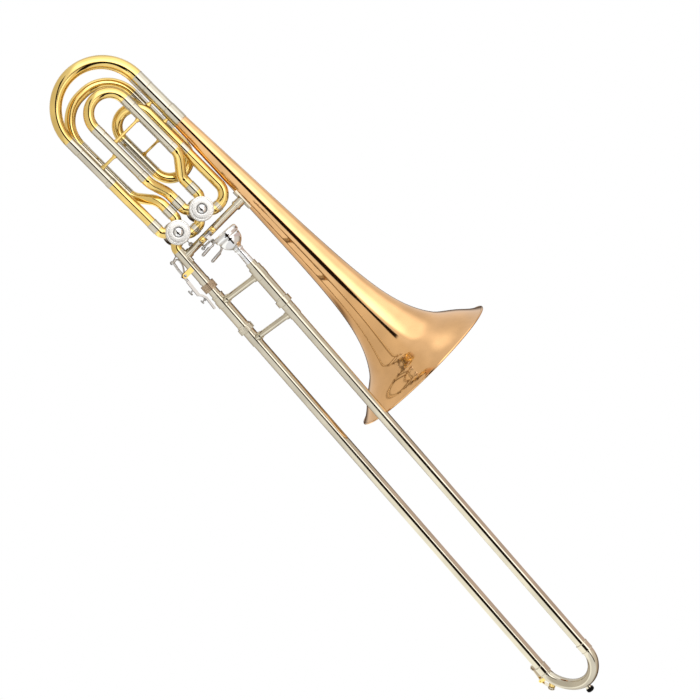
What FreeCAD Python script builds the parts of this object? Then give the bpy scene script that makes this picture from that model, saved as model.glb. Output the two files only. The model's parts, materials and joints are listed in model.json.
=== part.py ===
import FreeCAD, Part
import math
import os

# Bass trombone with two in-line rotary valves.  Millimetres.
# +X runs along the hand slide towards its crook, +Z is up, and the origin is the
# centre of the hand slide joint on the axis of the lower slide tube.
# The bell section is drawn in its own flat frame (bell axis level) and then tipped
# about Y.  The hand slide is drawn upright and then swung about X.

V = FreeCAD.Vector
os.makedirs("parts", exist_ok=True)

# ---- driving dimensions ------------------------------------------------------
BELL_TIP = 4.0            # bell axis points up by this angle, degrees
SLIDE_SWING = 55.0        # hand slide leans out from the bell plane, degrees

BELL_AXIS_V = 139.4       # height of the bell axis in the bell frame
BELL_RIM_U = 303.0
BELL_RIM_R = 120.2
BELL_BEAD_R = 1.6
BELL_WALL = 0.6
BELL_END_U = -208.0
STEM_R = 11.2             # stem radius 500 mm behind the rim
STEM_SLOPE = 0.042
FLARE_SIZE = 88.0
FLARE_LENGTH = 48.0
FLARE_HUMP = 5.5
FLARE_HUMP_W = 46.0

TUBE_R = 7.9              # outside radius of the valve tubing
TUBE_WALL = 0.6
SLEEVE_IN = 7.05          # bore of a tuning slide sleeve
LEG_R = 7.0               # tuning slide leg that runs in it
LEG_WALL = 0.5
BIG_R = 11.0              # sleeve on the bell side of the main slide
BIG_IN = 10.15
BIG_LEG_R = 10.1
FERRULE_R = 8.7
GAP = 0.3

MAIN_LOW_V = 5.3
MAIN_U = -287.0
MAIN_SLEEVE_U = -266.0
D_LOW_V = 43.0
D_HIGH_V = 103.0
D_Y = -14.0
D_U = -275.0
F_LOW_V = 14.5
F_HIGH_V = 121.5
F_IN_V = 64.5
F_Y = 21.0
F_U = -272.0
TOP_V = 115.0

VALVE_U = -86.4
VALVE_V = (20.7, 68.4)    # lower valve, upper valve
CASE_R = 17.5
CASE_IN = 15.5
CASE_HALF = 19.0
ROTOR_R = 15.45
ROTOR_HALF = 15.7
PORT = 15.0               # offset at which the tubes leave a valve
KNUCKLE_BEND = 10.0
SHAFT_R = 3.0
LEFT_FERRULE = (-122.5, -108.0)
STOP_ARM = {"lower": 9.0, "upper": 6.0}   # crank radius at the back of each valve

GRIP_U = -53.2            # hand brace
GRIP_R = 5.7

SPAN = 100.0              # between the two hand slide tubes
OUTER_R = 8.2
OUTER_IN = 7.75
INNER_R = 7.70
INNER_IN = 7.15
INNER_END = 736.0
CROOK_X = 750.0
CROOK_END_R = 30.0
CROOK_MID_R = 55.0
CROOK_TURN = math.degrees(math.atan2(3, 4))
BARREL_R = 9.0
BARREL_END = 86.5
TENON_R = 6.55


# ---- helpers -----------------------------------------------------------------
def ring(centre, direction, ro, ri):
    """Flat annular face."""
    wires = [Part.Wire([Part.makeCircle(ro, centre, direction)])]
    if ri > 0:
        wires.append(Part.Wire([Part.makeCircle(ri, centre, direction)]))
    return Part.makeFace(wires, "Part::FaceMakerBullseye")


def join(pieces):
    """One clean solid from pieces that touch or overlap."""
    if len(pieces) == 1:
        return pieces[0]
    return pieces[0].multiFuse(pieces[1:]).removeSplitter()


def pipe(a, b, ro, ri=0.0):
    """Straight tube from point a to point b."""
    along = b - a
    return ring(a, along, ro, ri).extrude(along)


def bend(start, heading, centre_dir, radius, angle, ro, ri):
    """Round bend.  Returns the solid, its end point and its end heading."""
    axis = heading.cross(centre_dir)
    centre = start + centre_dir * radius
    solid = ring(start, heading, ro, ri).revolve(centre, axis, angle)
    turn = FreeCAD.Rotation(axis, angle)
    end = centre + turn.multVec(start - centre)
    return solid, end, turn.multVec(heading)


def corners(points, radius, ro, ri):
    """Tube through corner points, with each inner corner rounded."""
    pieces = []
    at = points[0]
    for i in range(1, len(points) - 1):
        before = (points[i] - points[i - 1]).normalize()
        after = (points[i + 1] - points[i]).normalize()
        angle = math.degrees(before.getAngle(after))
        r = radius[i - 1] if isinstance(radius, list) else radius
        tangent = r * math.tan(math.radians(angle) / 2)
        start = points[i] - before * tangent
        if (start - at).Length > 1e-4:
            pieces.append(pipe(at, start, ro, ri))
        axis = before.cross(after).normalize()
        solid, at, _ = bend(start, before, axis.cross(before), r, angle, ro, ri)
        pieces.append(solid)
    if (points[-1] - at).Length > 1e-4:
        pieces.append(pipe(at, points[-1], ro, ri))
    return join(pieces)


def level(u0, u1, v, y, ro, ri=0.0):
    """Straight tube along the length of the instrument."""
    return pipe(V(u0, y, v), V(u1, y, v), ro, ri)


def box(x0, x1, y0, y1, z0, z1):
    return Part.makeBox(x1 - x0, y1 - y0, z1 - z0, V(x0, y0, z0))


def turned(points, origin, along):
    """Solid of revolution from (distance along axis, radius) corners."""
    along = V(along).normalize()
    side = V(0, 1, 0) if abs(along.y) < 0.9 else V(0, 0, 1)
    corner = [origin + along * a + side * r for a, r in points]
    face = Part.Face(Part.makePolygon(corner + [corner[0]]))
    return face.revolve(origin, along, 360)


def rod(points, r):
    """Thin round rod with ball-rounded corners."""
    pieces = []
    for a, b in zip(points[:-1], points[1:]):
        pieces.append(pipe(a, b, r))
    for p in points[1:-1]:
        pieces.append(Part.makeSphere(r, p))
    return join(pieces)


def bar(points, width, thick, across):
    """Flat strip that follows corner points, 'width' along the vector across."""
    pieces = []
    across = V(across).normalize()
    for a, b in zip(points[:-1], points[1:]):
        along = (b - a).normalize()
        flat = along.cross(across)
        c = a - across * (width / 2) - flat * (thick / 2)
        wire = Part.makePolygon([c, c + across * width, c + across * width + flat * thick,
                                 c + flat * thick, c])
        pieces.append(Part.Face(wire).extrude(b - a))
    for p in points[1:-1]:
        pieces.append(pipe(p - across * (width / 2), p + across * (width / 2), thick / 2))
    return join(pieces)


def save(name, shape, frame):
    placed = shape.copy()
    if frame == "bell":
        placed.rotate(V(0, 0, 0), V(0, 1, 0), -BELL_TIP)
    elif frame == "slide":
        placed.rotate(V(0, 0, 0), V(1, 0, 0), SLIDE_SWING)
    placed.exportStep("parts/%s.step" % name)
    print(name, round(placed.Volume), len(placed.Solids), placed.isValid())


def both(shapes):
    """Several separate solids saved as one node."""
    return Part.makeCompound(shapes)


# ---- bell --------------------------------------------------------------------
def bell_radius(w):
    """Outside radius at distance w behind the rim."""
    r = STEM_R + STEM_SLOPE * (500 - w) + FLARE_SIZE * math.exp(-w / FLARE_LENGTH)
    if w < FLARE_HUMP_W:
        r += FLARE_HUMP * math.sin(math.pi * w / FLARE_HUMP_W) ** 2
    return r


def bell_curve(inset):
    """Bell outline as a smooth curve, moved inwards by inset."""
    length = BELL_RIM_U - BELL_END_U
    count = 34
    points = []
    for i in range(count + 1):
        w = length * (i / count) ** 1.9
        slope = (bell_radius(w + 0.1) - bell_radius(max(w - 0.1, 0))) / (0.2 if w > 0.1 else 0.1)
        size = math.hypot(1, slope)
        r = bell_radius(w) - inset / size
        u = BELL_RIM_U - w - inset * slope / size
        if i == 0:
            u = BELL_RIM_U
        if i == count:
            u = BELL_END_U
        points.append(V(u, 0, BELL_AXIS_V + r))
    spline = Part.BSplineCurve()
    spline.interpolate(points)
    return spline.toShape(), points[0], points[-1]




outer_edge, outer_rim, outer_end = bell_curve(0)
inner_edge, inner_rim, inner_end = bell_curve(BELL_WALL)
BELL_LINE = V(0, 0, BELL_AXIS_V)


def spun(edges):
    """Closed outline spun about the bell axis."""
    wire = Part.Wire(Part.__sortEdges__(edges))
    return Part.Face(wire).revolve(BELL_LINE, V(1, 0, 0), 360)


wall = spun([outer_edge, Part.makeLine(outer_end, inner_end), inner_edge, Part.makeLine(inner_rim, outer_rim)])
end_axis = V(BELL_END_U, 0, BELL_AXIS_V)
rim_axis = V(BELL_RIM_U, 0, BELL_AXIS_V)
bell_filled = spun([outer_edge, Part.makeLine(outer_end, end_axis), Part.makeLine(end_axis, rim_axis),
                    Part.makeLine(rim_axis, outer_rim)])
bead = Part.makeTorus(BELL_RIM_R - 0.6, BELL_BEAD_R, V(BELL_RIM_U + 0.4, 0, BELL_AXIS_V), V(1, 0, 0))
bell = wall.fuse(bead)
save("bell", bell, "bell")

# ---- main tuning slide -------------------------------------------------------
big_sleeve = level(MAIN_SLEEVE_U, BELL_END_U, BELL_AXIS_V, 0, BIG_R, BIG_IN)
small_sleeve = level(MAIN_SLEEVE_U, -203, MAIN_LOW_V, 0, TUBE_R, SLEEVE_IN)
save("main_tuning_sleeves", both([big_sleeve, small_sleeve]), "bell")
stem_ferrule = level(-221, -197, BELL_AXIS_V, 0, 11.8, BIG_R - 0.1)
stem_ferrule = stem_ferrule.cut(big_sleeve).cut(bell_filled)

bow_centre_v = (MAIN_LOW_V + BELL_AXIS_V) / 2
bow_r = (BELL_AXIS_V - MAIN_LOW_V) / 2
bow_low = V(MAIN_U, 0, MAIN_LOW_V)
bow_mid = V(MAIN_U - bow_r, 0, bow_centre_v)
bow_high = V(MAIN_U, 0, BELL_AXIS_V)
bow_path = Part.Wire([Part.Arc(bow_low, bow_mid, bow_high).toShape()])


def tapered_bow(r_low, r_high):
    low = Part.Wire([Part.makeCircle(r_low, bow_low, V(-1, 0, 0))])
    high = Part.Wire([Part.makeCircle(r_high, bow_high, V(1, 0, 0))])
    return bow_path.makePipeShell([low, high], True, False)


main_bow = tapered_bow(8.1, BIG_R).cut(tapered_bow(7.5, BIG_R - 0.6))
save("main_tuning_bow", main_bow, "bell")


def slide_leg(u0, u_collar, u1, v, y, collar_r, ro):
    """Running leg of a tuning slide, with the collar that meets the sleeve."""
    return join([level(u0, u1, v, y, ro, ro - LEG_WALL), level(u0, u_collar - GAP, v, y, collar_r, ro - 0.1)])


main_legs = [slide_leg(MAIN_U, MAIN_SLEEVE_U, -210, BELL_AXIS_V, 0, BIG_R + 0.2, BIG_LEG_R),
             slide_leg(MAIN_U, MAIN_SLEEVE_U, -206, MAIN_LOW_V, 0, TUBE_R + 0.3, LEG_R)]
save("main_tuning_legs", both(main_legs), "bell")

# ---- D tuning slide, on the near side ----------------------------------------
d_r = (D_HIGH_V - D_LOW_V) / 2
d_bow = corners([V(D_U, D_Y, D_LOW_V), V(D_U - d_r, D_Y, D_LOW_V),
                 V(D_U - d_r, D_Y, D_HIGH_V), V(D_U, D_Y, D_HIGH_V)],
                d_r, TUBE_R + 0.1, TUBE_R + 0.1 - TUBE_WALL)
save("d_tuning_bow", d_bow, "bell")
D_SLEEVE_U = -261.0
D_END_U = -177.0
save("d_tuning_legs", both([slide_leg(D_U, D_SLEEVE_U, -204, v, D_Y, TUBE_R + 0.3, LEG_R)
                            for v in (D_LOW_V, D_HIGH_V)]), "bell")
d_sleeves = [level(D_SLEEVE_U, D_END_U, v, D_Y, TUBE_R, SLEEVE_IN) for v in (D_LOW_V, D_HIGH_V)]
save("d_tuning_sleeves", both(d_sleeves), "bell")

left_end = LEFT_FERRULE[0] + 7
tube_in = TUBE_R - TUBE_WALL
d_feed_low = corners([V(D_END_U, D_Y, D_LOW_V), V(-164, D_Y, D_LOW_V),
                      V(-136, 0, VALVE_V[1] - PORT), V(left_end, 0, VALVE_V[1] - PORT)],
                     24, TUBE_R, tube_in)
d_feed_high = corners([V(D_END_U, D_Y, D_HIGH_V), V(-165, D_Y, D_HIGH_V),
                       V(-138, 0, VALVE_V[1] + PORT), V(left_end, 0, VALVE_V[1] + PORT)],
                      20, TUBE_R, tube_in)
save("d_feed_tubes", both([d_feed_low, d_feed_high]), "bell")

# ---- F tuning slide and coil, on the far side ---------------------------------
F_BEND = 50.0
f_bow = corners([V(F_U, F_Y, F_LOW_V), V(F_U - F_BEND, F_Y, F_LOW_V),
                 V(F_U - F_BEND, F_Y, F_HIGH_V), V(F_U, F_Y, F_HIGH_V)],
                F_BEND, TUBE_R + 0.1, TUBE_R + 0.1 - TUBE_WALL)
save("f_tuning_bow", f_bow, "bell")
F_SLEEVE_U = -262.0
save("f_tuning_legs", both([slide_leg(F_U, F_SLEEVE_U, -207, v, F_Y, TUBE_R + 0.3, LEG_R)
                            for v in (F_LOW_V, F_HIGH_V)]), "bell")
f_sleeve_low = level(F_SLEEVE_U, -177, F_LOW_V, F_Y, TUBE_R, SLEEVE_IN)
f_sleeve_high = level(F_SLEEVE_U, -200, F_HIGH_V, F_Y, TUBE_R, SLEEVE_IN)
save("f_tuning_sleeves", both([f_sleeve_low, f_sleeve_high]), "bell")
f_feed = corners([V(-177, F_Y, F_LOW_V), V(-166, F_Y, F_LOW_V),
                  V(-138, 0, VALVE_V[0] + PORT), V(left_end, 0, VALVE_V[0] + PORT)],
                 24, TUBE_R, tube_in)
save("f_feed_tube", f_feed, "bell")
F_RIGHT_U = -168.4
f_right_r = (F_HIGH_V - F_IN_V) / 2
f_right = corners([V(-200, F_Y, F_HIGH_V), V(F_RIGHT_U + f_right_r, F_Y, F_HIGH_V),
                   V(F_RIGHT_U + f_right_r, F_Y, F_IN_V), V(-169, F_Y, F_IN_V)],
                  f_right_r, TUBE_R, tube_in)
save("f_return_bow", f_right, "bell")
F_SMALL_U = -234.0
f_inner = level(F_SMALL_U - 1, -169, F_IN_V, F_Y, TUBE_R + 0.1, tube_in)
save("f_inner_sleeve", f_inner, "bell")
TOP_JOINT_U = -164.5
small_dir = V(0, -F_Y, TOP_V - F_IN_V)
small_r = small_dir.Length / 2
small_low = V(F_SMALL_U - 1, F_Y, F_IN_V)
small_high = V(F_SMALL_U - 1, 0, TOP_V)
f_small = corners([small_low, small_low - V(small_r, 0, 0), small_high - V(small_r, 0, 0),
                   V(TOP_JOINT_U, 0, TOP_V)], small_r, TUBE_R, tube_in)
save("f_small_bow", f_small, "bell")
UP_U = VALVE_U + PORT
UP_JOINT_V = 91.0
f_top = corners([V(TOP_JOINT_U, 0, TOP_V), V(UP_U, 0, TOP_V), V(UP_U, 0, UP_JOINT_V)], 21, TUBE_R, tube_in)
save("f_top_tube", f_top, "bell")

# ---- return tube to the main slide -------------------------------------------
return_v = VALVE_V[0] - PORT
return_tube = corners([V(-203, 0, MAIN_LOW_V), V(-170, 0, MAIN_LOW_V), V(-140, 0, return_v),
                       V(left_end, 0, return_v)], 60, TUBE_R, tube_in)
save("main_return_tube", return_tube, "bell")

# ---- valves ------------------------------------------------------------------
casings = []
for name, v0 in zip(("lower", "upper"), VALVE_V):
    middle = V(VALVE_U, 0, v0)
    near = middle - V(0, CASE_HALF, 0)
    far = middle + V(0, CASE_HALF, 0)
    case = pipe(near, far, CASE_R, CASE_IN)
    rear_wall = pipe(middle + V(0, 16, 0), far, CASE_IN, SHAFT_R + 0.05)
    hub = pipe(far, far + V(0, 2, 0), 7, SHAFT_R + 0.05)
    rim_rings = [pipe(near + V(0, d, 0), near + V(0, d + 3, 0), CASE_R + 0.4, CASE_R - 0.5)
                 for d in (0, 35)]
    case = join([case, rear_wall, hub] + rim_rings)
    for angle in (45, 135, 225, 315):
        out = V(math.cos(math.radians(angle)), 0, math.sin(math.radians(angle)))
        case = case.cut(pipe(middle + out * 10, middle + out * 22, 6.2))
    save("valve_casing_" + name, case, "bell")
    casings.append(case)

    core = pipe(middle - V(0, ROTOR_HALF, 0), middle + V(0, ROTOR_HALF, 0), ROTOR_R)
    for side in (1, -1):
        start = middle + V(ROTOR_R * math.sqrt(0.5), 0, side * ROTOR_R * math.sqrt(0.5))
        inward = (middle - start).normalize()
        back = start - inward * 3
        to_centre = V(-inward.z * side, 0, inward.x * side)
        if to_centre.z * side < 0:
            to_centre = to_centre * -1
        passage, stop, _ = bend(start, inward, to_centre, ROTOR_R, 90, 5.6, 0)
        core = core.cut(passage).cut(pipe(back, start, 5.6))
        core = core.cut(pipe(stop, stop + (stop - middle).normalize() * 3, 5.6))
    pin_far = 27.4 if name == "lower" else 31.8
    arm_r = STOP_ARM[name]
    shaft = pipe(middle - V(0, 18, 0), middle + V(0, 21.6, 0), SHAFT_R)
    save("rotor_" + name, join([core, shaft]), "bell")
    swing = -45 if name == "lower" else 45
    lean = math.radians(90 - swing) if name == "lower" else math.radians(swing)
    tip = middle + V(arm_r * math.cos(lean), 0, arm_r * math.sin(lean))
    lift = V(0, 21.6, 0)
    arm = [pipe(middle + lift, middle + lift + V(0, 3, 0), 4.8),
           pipe(tip + lift, tip + lift + V(0, 3, 0), 3.4),
           bar([middle + V(0, 23.1, 0), tip + V(0, 23.1, 0)], 3.0, 6.0, V(0, 1, 0)),
           pipe(tip + lift, tip + V(0, pin_far, 0), 1.3),
           pipe(middle + V(0, 24.6, 0), middle + V(0, 26.0, 0), 3.2)]
    save("stop_arm_" + name, join(arm), "bell")

# front bearing plates and screw caps
plates = [pipe(V(VALVE_U, -18.8, v0), V(VALVE_U, -16, v0), CASE_IN, SHAFT_R + 0.05) for v0 in VALVE_V]
save("valve_bearing_plates", both(plates), "bell")
CAP = [(0.0, 15.6), (0.0, 18.2), (7.4, 18.2), (8.6, 17.0), (9.0, 15.9), (8.6, 15.7), (8.6, 14.9),
       (9.2, 14.7), (9.4, 7.4), (8.8, 7.2), (8.8, 6.6), (9.6, 6.4), (11.0, 5.6), (11.5, 3.6),
       (11.6, 0.0), (6.0, 0.0), (6.0, 15.6)]
for name, v0 in zip(("lower", "upper"), VALVE_V):
    cap = turned(CAP, V(VALVE_U, -CASE_HALF, v0), V(0, -1, 0))
    for i in range(36):
        angle = math.radians(i * 10)
        at = V(VALVE_U + 18.5 * math.cos(angle), -CASE_HALF, v0 + 18.5 * math.sin(angle))
        cap = cap.cut(pipe(at, at - V(0, 6.0, 0), 0.55))
    save("valve_cap_" + name, cap, "bell")

# knuckles: short bends soldered to the casings
cut_body = [pipe(V(VALVE_U, -CASE_HALF, v0), V(VALVE_U, CASE_HALF, v0), CASE_R) for v0 in VALVE_V]
mid_joint = (VALVE_V[0] + VALVE_V[1]) / 2


def knuckle(v0, side_u, side_v, last):
    """Bend from a valve port out to the point last."""
    centre = V(VALVE_U, 0, v0)
    port = centre + V(10 * side_u, 0, 10 * side_v)
    turn_point = centre + V(PORT * side_u, 0, PORT * side_v)
    return corners([port, turn_point, last], KNUCKLE_BEND, TUBE_R, tube_in)


# the mouth-side knuckle turns on to the hand slide axis, which is level in the final pose
along = FreeCAD.Rotation(V(0, 1, 0), BELL_TIP).multVec(V(1, 0, 0))
receiver_start = along * -66.0
fall = -along.z / along.x
reach = (VALVE_V[0] + VALVE_U * fall) / (1 - fall)
receiver_turn = V(VALVE_U + reach, 0, VALVE_V[0] - reach)
for name, v0 in zip(("lower", "upper"), VALVE_V):
    set_of = [knuckle(v0, -1, 1, V(left_end, 0, v0 + PORT)),
              knuckle(v0, -1, -1, V(left_end, 0, v0 - PORT))]
    if name == "lower":
        set_of.append(knuckle(v0, 1, 1, V(UP_U, 0, mid_joint)))
        set_of.append(corners([V(VALVE_U + 10, 0, v0 - 10), receiver_turn, receiver_start],
                              KNUCKLE_BEND, TUBE_R, tube_in))
    else:
        set_of.append(knuckle(v0, 1, -1, V(UP_U, 0, mid_joint)))
        set_of.append(knuckle(v0, 1, 1, V(UP_U, 0, UP_JOINT_V)))
    set_of = [k.cut(cut_body[0]).cut(cut_body[1]) for k in set_of]
    save("valve_knuckles_" + name, both(set_of), "bell")

ferrules = [stem_ferrule]
ferrules += [level(LEFT_FERRULE[0], LEFT_FERRULE[1], v, 0, FERRULE_R - 0.3, TUBE_R)
            for v in (VALVE_V[0] - PORT, VALVE_V[0] + PORT, VALVE_V[1] - PORT, VALVE_V[1] + PORT)]
ferrules.append(pipe(V(UP_U, 0, mid_joint - 3.6), V(UP_U, 0, mid_joint + 3.6), FERRULE_R, TUBE_R))
ferrules.append(pipe(V(UP_U, 0, 87.7), V(UP_U, 0, 93.8), FERRULE_R, TUBE_R))
ferrules.append(level(TOP_JOINT_U - 7.5, TOP_JOINT_U + 7.5, TOP_V, 0, FERRULE_R - 0.3, TUBE_R))
ferrules.append(level(-207, -200, MAIN_LOW_V, 0, FERRULE_R - 0.4, TUBE_R))
ferrules.append(level(-181, -173, D_LOW_V, D_Y, FERRULE_R - 0.4, TUBE_R))
ferrules.append(level(-181, -173, D_HIGH_V, D_Y, FERRULE_R - 0.4, TUBE_R))
ferrules.append(level(-181, -173, F_LOW_V, F_Y, FERRULE_R - 0.4, TUBE_R))
ferrules.append(level(-204, -196, F_HIGH_V, F_Y, FERRULE_R - 0.4, TUBE_R))
save("tube_ferrules", both(ferrules), "bell")

# ---- slide receiver, hand brace and stays ---------------------------------------
receiver = pipe(along * -66.0, along * -0.3, TUBE_R - 0.15, TENON_R + 0.05)
receiver = join([receiver, pipe(along * -66.0, along * -61.0, TUBE_R + 0.5, TENON_R + 0.05),
                 pipe(along * -12.0, along * -8.0, TUBE_R + 0.4, TENON_R + 0.05)])
save("slide_receiver", receiver, "bell")
receiver_filled = pipe(along * -66.0, along * -0.3, TUBE_R - 0.15)

grip = pipe(V(GRIP_U, 0, 4), V(GRIP_U, 0, 110), GRIP_R, GRIP_R - 0.8).cut(receiver_filled)
save("hand_brace", grip, "bell")
collar = pipe(V(GRIP_U, 0, 108.5), V(GRIP_U, 0, 130), 7.1, GRIP_R)
collar = join([collar, pipe(V(GRIP_U, 0, 110), V(GRIP_U, 0, 111.5), 7.8, GRIP_R)])
flange = pipe(V(GRIP_U - 16, 0, BELL_AXIS_V), V(GRIP_U + 16, 0, BELL_AXIS_V), 19.2)
flange = flange.common(box(GRIP_U - 16, GRIP_U + 16, -9, 9, 115, 127))
collar = join([collar, flange]).cut(bell_filled)
foot = pipe(along * -60.6, along * -42.0, TUBE_R + 1.0)
foot = foot.common(box(GRIP_U - 12, GRIP_U + 12, -6, 6, 4, 16))
foot = join([foot, pipe(V(GRIP_U, 0, 5), V(GRIP_U, 0, 16.5), 7.0)])
foot = foot.cut(receiver_filled).cut(pipe(V(GRIP_U, 0, 0), V(GRIP_U, 0, 20), GRIP_R))
save("hand_brace_flanges", both([collar, foot]), "bell")


def stay(a, b, r, seat_r, tubes):
    """Brace rod with a seat at each end, trimmed to the tubes it joins."""
    way = (b - a).normalize()
    reach_in = way * 9.0
    shape = join([pipe(a, b, r), pipe(a, a + reach_in, seat_r), pipe(b - reach_in, b, seat_r),
                  pipe(a, a + way * 11.0, (r + seat_r) / 2), pipe(b - way * 11.0, b, (r + seat_r) / 2)])
    for tube in tubes:
        shape = shape.cut(tube)
    return shape


def solid_line(u0, u1, v, y, r):
    return level(u0, u1, v, y, r)


d_low_line = solid_line(-262, -177, D_LOW_V, D_Y, TUBE_R)
d_high_line = solid_line(-262, -177, D_HIGH_V, D_Y, TUBE_R)
main_low_line = solid_line(-266, -203, MAIN_LOW_V, 0, TUBE_R)
f_in_line = solid_line(-240, -169, F_IN_V, F_Y, TUBE_R + 0.1)
stays = [stay(V(-240.5, D_Y, D_LOW_V), V(-240.5, D_Y, D_HIGH_V), 2.2, 3.6, [d_low_line, d_high_line]),
         stay(V(-198.5, F_Y, F_IN_V), V(-198.5, D_Y, D_HIGH_V), 1.9, 3.4, [f_in_line, d_high_line]),
         stay(V(-227.0, 0, MAIN_LOW_V), V(-227.0, D_Y, D_LOW_V), 2.4, 3.8, [main_low_line, d_low_line])]
save("slide_stays", both(stays), "bell")
top_line = solid_line(-250, -165, TOP_V, 0, TUBE_R)
big_line = join([solid_line(-266, -220, BELL_AXIS_V, 0, BIG_R), solid_line(-221, -190, BELL_AXIS_V, 0, 11.8)])
f_high_line = solid_line(-262, -200, F_HIGH_V, F_Y, TUBE_R)
short = [stay(V(-211.0, 0, TOP_V), V(-211.0, 0, BELL_AXIS_V), 2.2, 3.4, [top_line, big_line]),
         stay(V(-244.5, 0, TOP_V), V(-244.5, 0, BELL_AXIS_V), 2.4, 4.2, [top_line, big_line, big_sleeve]),
         stay(V(-226.0, D_Y, D_HIGH_V), V(-226.0, 0, TOP_V), 2.2, 3.4, [top_line, d_high_line]),
         stay(V(-226.0, F_Y, F_HIGH_V), V(-226.0, 0, TOP_V), 2.2, 3.4, [top_line, f_high_line]),
         stay(V(-226.0, F_Y, F_LOW_V), V(-226.0, 0, MAIN_LOW_V), 2.2, 3.4,
              [main_low_line, solid_line(-262, -177, F_LOW_V, F_Y, TUBE_R)])]
save("coil_stays", both(short), "bell")

# ---- thumb lever on the hand brace ------------------------------------------------
HINGE_Y = -9.6
PIN_R = 1.2
posts = []
for v0, v1 in ((36.0, 43.5), (56.5, 63.5)):
    block = join([box(GRIP_U - 4.2, GRIP_U + 4.2, -8.0, 0, v0, v1),
                  pipe(V(GRIP_U, HINGE_Y, v0), V(GRIP_U, HINGE_Y, v1), 3.6)])
    posts.append(block.cut(pipe(V(GRIP_U, 0, v0 - 1), V(GRIP_U, 0, v1 + 1), GRIP_R)))
posts.append(pipe(V(GRIP_U, HINGE_Y, 43.5), V(GRIP_U, HINGE_Y, 56.5), PIN_R))
save("thumb_lever_posts", join(posts), "bell")
PAD_WIDE = 6.6
barrel = pipe(V(GRIP_U, HINGE_Y, 43.8), V(GRIP_U, HINGE_Y, 56.2), 2.9)
front = bar([V(GRIP_U, HINGE_Y - 1.6, 48.2), V(-44, HINGE_Y - 2.4, 48.2), V(-37, HINGE_Y - 2.4, 49.5)],
            6.0, 2.2, V(0, 0, 1))
branch_y = HINGE_Y - 3.4


def pad(points, width):
    """Rounded strip in the plane of the bell."""
    return bar(points, width, 2.4, V(0, 1, 0))


near_pad = rod([V(-40, branch_y, 48.5), V(-37.2, branch_y, 44), V(-38.2, branch_y, 36)], 1.6)
far_arm = rod([V(-40, branch_y, 48.5), V(-33, branch_y, 52.0), V(-28, branch_y, 52.4),
               V(-24.5, branch_y, 49.0), V(-22.6, branch_y, 43.5)], 1.7)
near_plate = pipe(V(-37.4, branch_y, 24.5), V(-38.2, branch_y, 38.0), 2.5)
near_plate = join([near_plate, Part.makeSphere(2.5, V(-37.4, branch_y, 24.5))])
far_plate = pipe(V(-21.6, branch_y, 28.0), V(-22.6, branch_y, 44.0), 2.5)
far_plate = join([far_plate, Part.makeSphere(2.5, V(-21.6, branch_y, 28.0))])
LINK_BALL = V(GRIP_U - STOP_ARM["lower"] * math.sqrt(0.5), 21.4, 27.5)
back_arm = rod([V(GRIP_U + 2, HINGE_Y, 46.5), V(-44.0, HINGE_Y, 46.5), V(-44.0, 8, 38.0), LINK_BALL], 1.5)
ball = Part.makeSphere(2.6, LINK_BALL)
thumb = join([barrel, front, near_pad, far_arm, near_plate, far_plate, back_arm, ball])
hole = pipe(V(GRIP_U, HINGE_Y, 40), V(GRIP_U, HINGE_Y, 60), PIN_R + 0.05)
save("thumb_lever", thumb.cut(hole), "bell")
screw = join([pipe(V(-44.0, branch_y, 35.0), V(-44.0, branch_y, 49.0), 1.0),
              pipe(V(-44.0, branch_y, 33.5), V(-44.0, branch_y, 35.2), 1.9),
              Part.makeSphere(2.7, V(-44.0, branch_y, 31.0))])
save("thumb_lever_adjuster", screw.cut(thumb), "bell")

# links from the stop arms to the levers
LINK_LOW_Y = (25.2, 27.0)
LINK_HIGH_Y = (29.6, 31.4)
low_off = STOP_ARM["lower"] * math.sqrt(0.5)
low_pin = V(VALVE_U - low_off, 0, VALVE_V[0] + low_off)
low_far = V(GRIP_U - low_off, 0, low_pin.z)


def link(a, b, y0, y1, hole_r):
    """Flat link with an eye at each end; the eye at a runs on the stop arm pin."""
    mid_y = (y0 + y1) / 2
    lift0 = V(0, y0, 0)
    lift1 = V(0, y1, 0)
    way = (b - a).normalize()
    shape = join([pipe(a + lift0, a + lift1, 3.2), pipe(b + lift0, b + lift1, 3.0),
                  pipe(a + V(0, mid_y, 0), b + V(0, mid_y, 0), 0.85)])
    shape = join([shape, pipe(a + way * 3 + V(0, mid_y, 0), a + way * 9 + V(0, mid_y, 0), 1.4)])
    shape = shape.cut(pipe(a, a + V(0, 40, 0), 1.35))
    return shape.cut(pipe(b, b + V(0, 40, 0), hole_r))


save("link_lower", link(low_pin, low_far, LINK_LOW_Y[0], LINK_LOW_Y[1], 1.4), "bell")
high_off = STOP_ARM["upper"] * math.sqrt(0.5)
high_pin = V(VALVE_U + high_off, 0, VALVE_V[1] + high_off)
high_far = V(-59.0, 0, -11.0)
save("link_upper", link(high_pin, high_far, LINK_HIGH_Y[0], LINK_HIGH_Y[1], 1.4), "bell")

# ---- finger lever under the receiver ----------------------------------------------
LEVER_U = -34.4
LEVER_V = -14.5
ears = [box(LEVER_U - 3.8, LEVER_U + 3.8, y0, y0 + 2.0, LEVER_V, 1.0) for y0 in (-7.4, 5.4)]
ears += [pipe(V(LEVER_U, y0, LEVER_V), V(LEVER_U, y0 + 2.0, LEVER_V), 3.8) for y0 in (-7.4, 5.4)]
ears.append(box(LEVER_U - 3.8, LEVER_U + 3.8, -7.4, 7.4, -9.0, 1.0))
saddle = join(ears).cut(receiver_filled)
saddle = join([saddle, pipe(V(LEVER_U, -7.4, LEVER_V), V(LEVER_U, 18.4, LEVER_V), PIN_R),
               pipe(V(LEVER_U, 18.4, LEVER_V), V(LEVER_U, 19.6, LEVER_V), 2.4),
               pipe(V(LEVER_U, -8.6, LEVER_V), V(LEVER_U, -7.4, LEVER_V), 2.2)])
save("finger_lever_saddle", saddle, "bell")
LEVER_Y = 14.8            # the lever swings beside the receiver, not under it
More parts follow.
